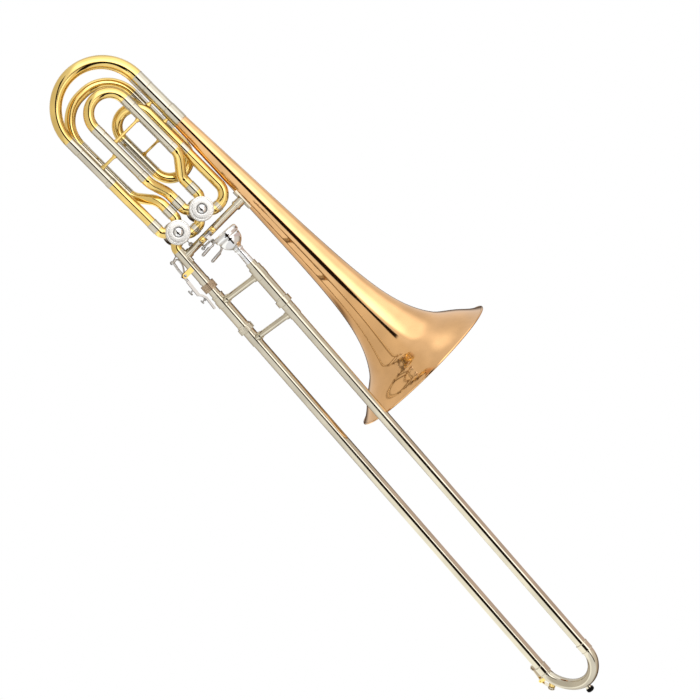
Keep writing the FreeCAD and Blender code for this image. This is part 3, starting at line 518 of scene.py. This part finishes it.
def bell():
    steps = [FIRST_STEP * (BELL_LENGTH / FIRST_STEP) ** (k / BELL_ROWS) for k in range(BELL_ROWS + 1)]
    outer = [(BELL_RIM_U - w, bell_radius(w)) for w in reversed(steps)]
    inner = [(BELL_RIM_U - w, bell_radius(w) - BELL_WALL) for w in steps]
    inner[0] = (BELL_RIM_U - 0.7, bell_radius(0.7) - BELL_WALL)
    rim = arc((303.4, 119.6), BEAD_R, 218.4, -131.2, 36)
    shape = Shape(BELL)
    shape.turned(outer + rim[1:-1] + inner, (0, 0, BELL_AXIS_V), ALONG, 192)
    shape.done("bell_spun", "bell_section", "gold_brass", ("bell",), sharp=60)


# ---- mouthpiece, turned in one piece -----------------------------------------------
SPAN = 100                # between the two hand slide tubes
# (along, radius): rim and cup outside, shank, and back up the bore into the cup
MOUTHPIECE = [
    (-47.0, 18.2), (-46.4, 18.8), (-45.4, 19.2), (-43.0, 19.3), (-40.2, 19.25), (-39.0, 18.95),
    (-38.5, 18.5), (-38.2, 17.6), (-37.8, 17.0), (-37.2, 17.2), (-35.0, 17.15), (-32.4, 16.85),
    (-30.0, 16.35), (-27.6, 15.5), (-25.4, 14.3), (-23.4, 12.7), (-21.8, 10.9), (-20.4, 9.0),
    (-19.2, 7.6), (-18.0, 6.8), (-16.8, 6.5), (-16.2, 6.5), (-15.9, 7.1), (-15.2, 7.35),
    (-14.5, 7.1), (-14.2, 6.3), (-13.4, 5.9), (-10.0, 5.75), (-4.0, 5.85), (-1.2, 5.95),
    (-1.0, 6.4), (-0.4, 6.65), (0.2, 6.4), (0.4, 6.05), (9.4, 6.3), (37.0, 6.05),
    (37.0, 5.2), (0.0, 4.2), (-14.0, 3.7), (-21.0, 3.6), (-22.8, 3.9), (-24.5, 4.6),
    (-27.0, 6.5), (-29.5, 8.6), (-32.4, 10.6), (-35.0, 12.0), (-37.6, 13.0), (-40.0, 13.6),
    (-42.6, 13.9), (-44.6, 14.1), (-46.0, 14.5), (-46.9, 15.2), (-47.5, 15.9), (-47.7, 16.8),
    (-47.5, 17.6)]


def mouthpiece():
    shape = Shape(SLIDE)
    shape.turned(MOUTHPIECE, (0, 0, SPAN), ALONG, 128)
    shape.done("mouthpiece_turned", "mouthpiece_body", "silver_plate", ("mouthpiece",), sharp=50)


# ---- screw caps of the valves, with a fluted edge, a button and a collar round it ----
VALVE_U = -86.4
VALVE_V = {"lower": 20.7, "upper": 68.4}
CAP_FACE_Y = -19
CAP_FLUTES = 36
CAP_FLUTE_DEPTH = 0.55
CAP = [
    (5.0, 0.0), (5.0, 15.6), (0.0, 15.6), (0.0, 17.9), (0.3, 18.15), (0.6, 18.2), (2.0, 18.2),
    (3.4, 18.2), (4.8, 18.2), (6.0, 18.2), (6.5, 18.2), (7.3, 18.15), (7.9, 17.85), (8.35, 17.35),
    (8.6, 16.7), (8.7, 16.0), (8.62, 15.6), (8.55, 15.3), (8.62, 15.0), (8.8, 14.5), (8.95, 12.0),
    (9.05, 9.6), (9.05, 8.3), (8.9, 7.95), (8.5, 7.8), (5.6, 7.7), (5.6, 6.2), (5.6, 0.0)]
BUTTON = [
    (5.2, 0.0), (5.2, 6.4), (8.2, 6.5), (8.8, 6.45), (9.4, 6.2), (10.0, 5.7), (10.6, 4.9),
    (11.1, 3.8), (11.4, 2.6), (11.55, 1.3), (11.6, 0.0)]
# collar ring round the button, in darker steel: the dark ring it makes is painted shade
SHADE_COLLAR = [(5.7, 6.5), (8.3, 6.5), (8.45, 6.7), (8.3, 6.9), (6.1, 6.95), (5.95, 7.75), (5.7, 7.75)]


def cap_flute(angle, h, r):
    """Grooves in the cap's widest part only."""
    if r > 18.0 and 0.4 < h < 6.2:
        return r - CAP_FLUTE_DEPTH * max(0.0, math.cos(CAP_FLUTES * angle)) ** 3
    return r


def valve_caps():
    for name, v in VALVE_V.items():
        at = (VALVE_U, CAP_FACE_Y, v)
        shape = Shape(BELL)
        shape.turned(CAP, at, NEAR, 288, cap_flute)
        shape.done("valve_cap_%s_turned" % name, "bell_section", "satin_silver", ("valve_cap_" + name,),
                   sharp=32)
        shape = Shape(BELL)
        shape.turned(BUTTON, at, NEAR)
        shape.done("valve_button_" + name, "bell_section", "silver_plate")
        # the collar's darker steel paints the shade round the button
        shape = Shape(BELL)
        shape.turned(SHADE_COLLAR, at, NEAR)
        shape.done("valve_button_shade_collar_" + name, "bell_section", "steel")


# ---- beads on the ends of sleeves, ferrules and barrels ----------------------------
TUBE_R = 7.9              # sleeves of the valve tubing
BIG_R = 11.0              # sleeve on the bell side of the main slide
FERRULE_R = 8.4
MAIN_LOW_V = 5.3
D_Y, D_LOW_V, D_HIGH_V = -14, 43, 103
F_Y, F_LOW_V, F_HIGH_V, F_IN_V = 21, 14.5, 121.5, 64.5
TOP_V = 115
# (along the tube, y, v, radius of the tube)
SLEEVE_ENDS = [
    (-265.0, 0, BELL_AXIS_V, BIG_R), (-222.5, 0, BELL_AXIS_V, BIG_R), (-196.0, 0, BELL_AXIS_V, 11.5),
    (-265.0, 0, MAIN_LOW_V, TUBE_R), (-208.4, 0, MAIN_LOW_V, TUBE_R),
    (-260.0, D_Y, D_LOW_V, TUBE_R), (-260.0, D_Y, D_HIGH_V, TUBE_R),
    (-182.4, D_Y, D_LOW_V, TUBE_R), (-182.4, D_Y, D_HIGH_V, TUBE_R),
    (-261.0, F_Y, F_LOW_V, TUBE_R), (-261.0, F_Y, F_HIGH_V, TUBE_R),
    (-182.4, F_Y, F_LOW_V, TUBE_R), (-205.2, F_Y, F_HIGH_V, TUBE_R),
    (-234.0, F_Y, F_IN_V, 8.0), (-170.0, F_Y, F_IN_V, 8.0)]
# each tuning slide's collars
TUNING_SLIDES = {
    "main_slide": [(-286.4, 0, BELL_AXIS_V, BIG_R), (-286.4, 0, MAIN_LOW_V, TUBE_R)],
    "d_slide": [(-274.4, D_Y, D_LOW_V, TUBE_R), (-274.4, D_Y, D_HIGH_V, TUBE_R)],
    "f_slide": [(-271.4, F_Y, F_LOW_V, TUBE_R), (-271.4, F_Y, F_HIGH_V, TUBE_R)]}


def bell_section_beads():
    shape = Shape(BELL)
    for u, y, v, r in SLEEVE_ENDS:
        shape.bead((u, y, v), ALONG, r)
    for v in (5.7, 35.7, 53.4, 83.4):
        for u in (-121.6, -109.0):
            shape.bead((u, 0, v), ALONG, FERRULE_R, 0.9, 0.3)
    for u in (-171.4, -157.8):
        shape.bead((u, 0, TOP_V), ALONG, FERRULE_R, 0.9, 0.3)
    shape.done("sleeve_beads", "bell_section", "nickel_silver")
    for body, collars in TUNING_SLIDES.items():
        shape = Shape(BELL)
        for u, y, v, r in collars:
            shape.bead((u, y, v), ALONG, r, 1.0, 0.35)
        shape.done(body + "_beads", body, "nickel_silver")


def hand_slide_beads():
    shape = Shape(SLIDE)
    for x, q, r in ((20.4, 0, 9.0), (38.2, 0, 9.0), (74.6, 0, 9.0), (38.4, SPAN, 9.5), (74.8, SPAN, 9.5)):
        shape.bead((x, 0, q), ALONG, r, 1.0, 0.35)
    shape.done("barrel_beads", "slide_section", "nickel_silver")
    shape = Shape(SLIDE)
    for q in (0, SPAN):
        for x, r in ((87.6, 8.9), (95.2, 8.9), (108.0, 8.7), (736.6, 9.1), (749.2, 9.1)):
            shape.bead((x, 0, q), ALONG, r, 1.0, 0.35)
    shape.done("outer_slide_beads", "outer_slide", "nickel_silver")


# ---- rubber tip with a groove round it ---------------------------------------------
CROOK_TIP_X = 800.5
RUBBER_TIP = [
    (0.0, 0.0), (0.0, 4.6), (0.4, 5.2), (1.0, 5.7), (1.8, 5.85), (2.3, 5.85), (2.5, 5.3), (2.9, 5.2),
    (3.1, 5.85), (3.8, 5.9), (4.6, 5.65), (5.4, 5.2), (6.0, 4.5), (6.5, 3.7), (6.8, 2.7), (6.9, 1.4),
    (6.9, 0.0)]


def rubber_tip():
    shape = Shape(SLIDE)
    shape.turned(RUBBER_TIP, (CROOK_TIP_X, 0, SPAN / 2), ALONG, 64)
    shape.done("bumper_tip", "outer_slide", "rubber", ("bumper",))


# ---- screws of the levers and the thumb lever's posts ------------------------------
GRIP_U, HINGE_Y = -53.2, -9.6            # thumb lever's pin, upright beside the hand brace
LEVER_U, LEVER_V = -34.4, -14.5          # finger lever's pin, across the slide receiver


def hinge_screws():
    shape = Shape(BELL)
    shape.screw((GRIP_U, HINGE_Y, 63.5), (0, 0, 1), 2.7, 1.3, (1, 0, 0))
    shape.screw((GRIP_U, HINGE_Y, 36.0), (0, 0, -1), 2.7, 1.3, (1, 0.4, 0))
    shape.screw((LEVER_U, 19.6, LEVER_V), FAR, 2.4, 1.1, (1, 0, 0.3))
    shape.screw((LEVER_U, -8.6, LEVER_V), NEAR, 2.2, 1.1, (1, 0, -0.6))
    shape.done("hinge_screws", "bell_section", "steel")


def post_screws():
    washer = [(0.0, 0.0), (0.0, 3.1), (0.9, 3.1), (1.2, 2.8), (1.2, 0.0)]
    shape = Shape(BELL)
    for v, turn in ((39.6, 0.5), (60.0, -0.9)):
        shape.turned(washer, (GRIP_U, -12.6, v), NEAR, 48)
        shape.screw((GRIP_U, -13.8, v), NEAR, 2.4, 0.9, (1, 0, turn))
    shape.done("post_screws", "bell_section", "yellow_brass")


# ---- stop arms: their screws, and the rubber plugs that they stop against ----------
# crank radius, y of the link's pin, direction of the arm at rest in degrees
STOP_ARMS = {"lower": (9.0, 27.4, 135), "upper": (6.0, 31.8, 45)}
PLUG_R = 9.2              # distance of the plugs from the shaft
PLUG_Y = 19.0
PLUG_PAST = 41            # angle from the arm's limit to the middle of a plug
SEAT = [(0.0, 0.0), (0.0, 3.1), (2.0, 3.1), (2.4, 2.7), (2.4, 0.0)]
PLUG = [(2.3, 0.0), (2.3, 2.0), (5.0, 2.0), (5.5, 1.5), (5.5, 0.0)]


def stop_arms():
    for name, (arm_r, pin_y, lean) in STOP_ARMS.items():
        v = VALVE_V[name]
        tip_u, tip_v = polar(arm_r, lean)
        shape = Shape(BELL)
        shape.screw((VALVE_U, 26.0, v), FAR, 3.2, 1.4, (1, 0, 1))
        shape.screw((VALVE_U + tip_u, pin_y, v + tip_v), FAR, 2.3, 1.0, (1, 0, -0.5))
        shape.done("stop_arm_screws_" + name, "rotor_%s_body" % name, "steel")
        seats = Shape(BELL)
        plugs = Shape(BELL)
        for angle in (lean + PLUG_PAST, lean - 90 - PLUG_PAST):
            du, dv = polar(PLUG_R, angle)
            at = (VALVE_U + du, PLUG_Y, v + dv)
            seats.turned(SEAT, at, FAR, 48)
            plugs.turned(PLUG, at, FAR, 40)
        seats.done("stop_plug_seats_" + name, "bell_section", "nickel_silver")
        plugs.done("stop_plugs_" + name, "bell_section", "rubber")


# ---- finger lever: a curved arm over the ball joint, and an adjusting screw --------
LEVER_Y = 14.8
# (u, v) from the ball joint back to the hinge
ARM = [(-59.0, -8.0), (-58.6, -4.6), (-55.0, -2.8), (-49.0, -3.4), (-43.0, -6.2), (-38.0, -10.0),
       (-35.0, -13.0)]
SCREW_U = 11.0
KNURLS = 16
KNURL_DEPTH = 0.3
THUMB_SCREW = [(0.0, 0.0), (0.0, 1.15), (7.0, 1.15), (7.2, 2.9), (7.5, 3.2), (8.9, 3.2), (9.2, 2.9),
               (9.2, 0.0)]
HEX_NUT = [(-1.1, 1.0), (-1.1, 2.3), (-0.8, 2.5), (0.8, 2.5), (1.1, 2.3), (1.1, 1.0)]


def knurl(angle, h, r):
    """Finger grooves in the screw's head, none in its shank."""
    return r - KNURL_DEPTH * max(0.0, math.cos(KNURLS * angle)) if r > 3.0 else r


def finger_lever():
    shape = Shape(BELL)
    shape.rod(smooth_line([Vector((u, LEVER_Y, v)) for u, v in ARM], 8), 1.35)
    # the arm takes the levers' darker silver, which is painted shade
    shape.done("finger_lever_arm", "finger_lever_body", "silver_plate", look="worn_silver_painted_shade")
    shape = Shape(BELL)
    shape.turned(THUMB_SCREW, (SCREW_U, LEVER_Y, -13.4), (0, 0, -1), 64, knurl)
    shape.turned(HEX_NUT, (SCREW_U, LEVER_Y, -16.6), (0, 0, -1), 6)
    shape.done("finger_lever_screw", "finger_lever_body", "steel", sharp=30)


# ---- return springs round the lever barrels ----------------------------------------
def lever_springs():
    wire = 0.42
    shape = Shape(BELL)
    shape.coil((GRIP_U, HINGE_Y, 50.8), (0, 0, 1), (-1, 0, 0), 3.45, wire, 4.25, 1.0, (2.0, 2.5))
    shape.coil((LEVER_U, 8.2, LEVER_V), FAR, (0, 0, 1), 3.5, wire, 3.5, 1.05, (3.0, 2.0))
    shape.done("lever_springs", "bell_section", "steel")


for make in (bell, mouthpiece, valve_caps, bell_section_beads, hand_slide_beads, rubber_tip, hinge_screws,
             post_screws, stop_arms, finger_lever, lever_springs):
    make()

# ---- floor: a pale disc well below the instrument, out of its reflections ----------
FLOOR_R = 3.2
FLOOR_Z = -1.2
FLOOR_SIDES = 96
corners = [math.tau * i / FLOOR_SIDES for i in range(FLOOR_SIDES)]
floor_mesh = bpy.data.meshes.new("floor")
floor_mesh.from_pydata([(FLOOR_R * math.cos(t), FLOOR_R * math.sin(t), FLOOR_Z) for t in corners], [],
                       [tuple(range(FLOOR_SIDES))])
floor = bpy.data.objects.new("floor", floor_mesh)
bpy.context.scene.collection.objects.link(floor)
floor_mat = bpy.data.materials.new("floor")
floor_mat.use_nodes = True
floor_mat.node_tree.nodes["Principled BSDF"].inputs["Base Color"].default_value = (0.95, 0.95, 0.95, 1)
floor_mesh.materials.append(floor_mat)
floor.visible_glossy = False
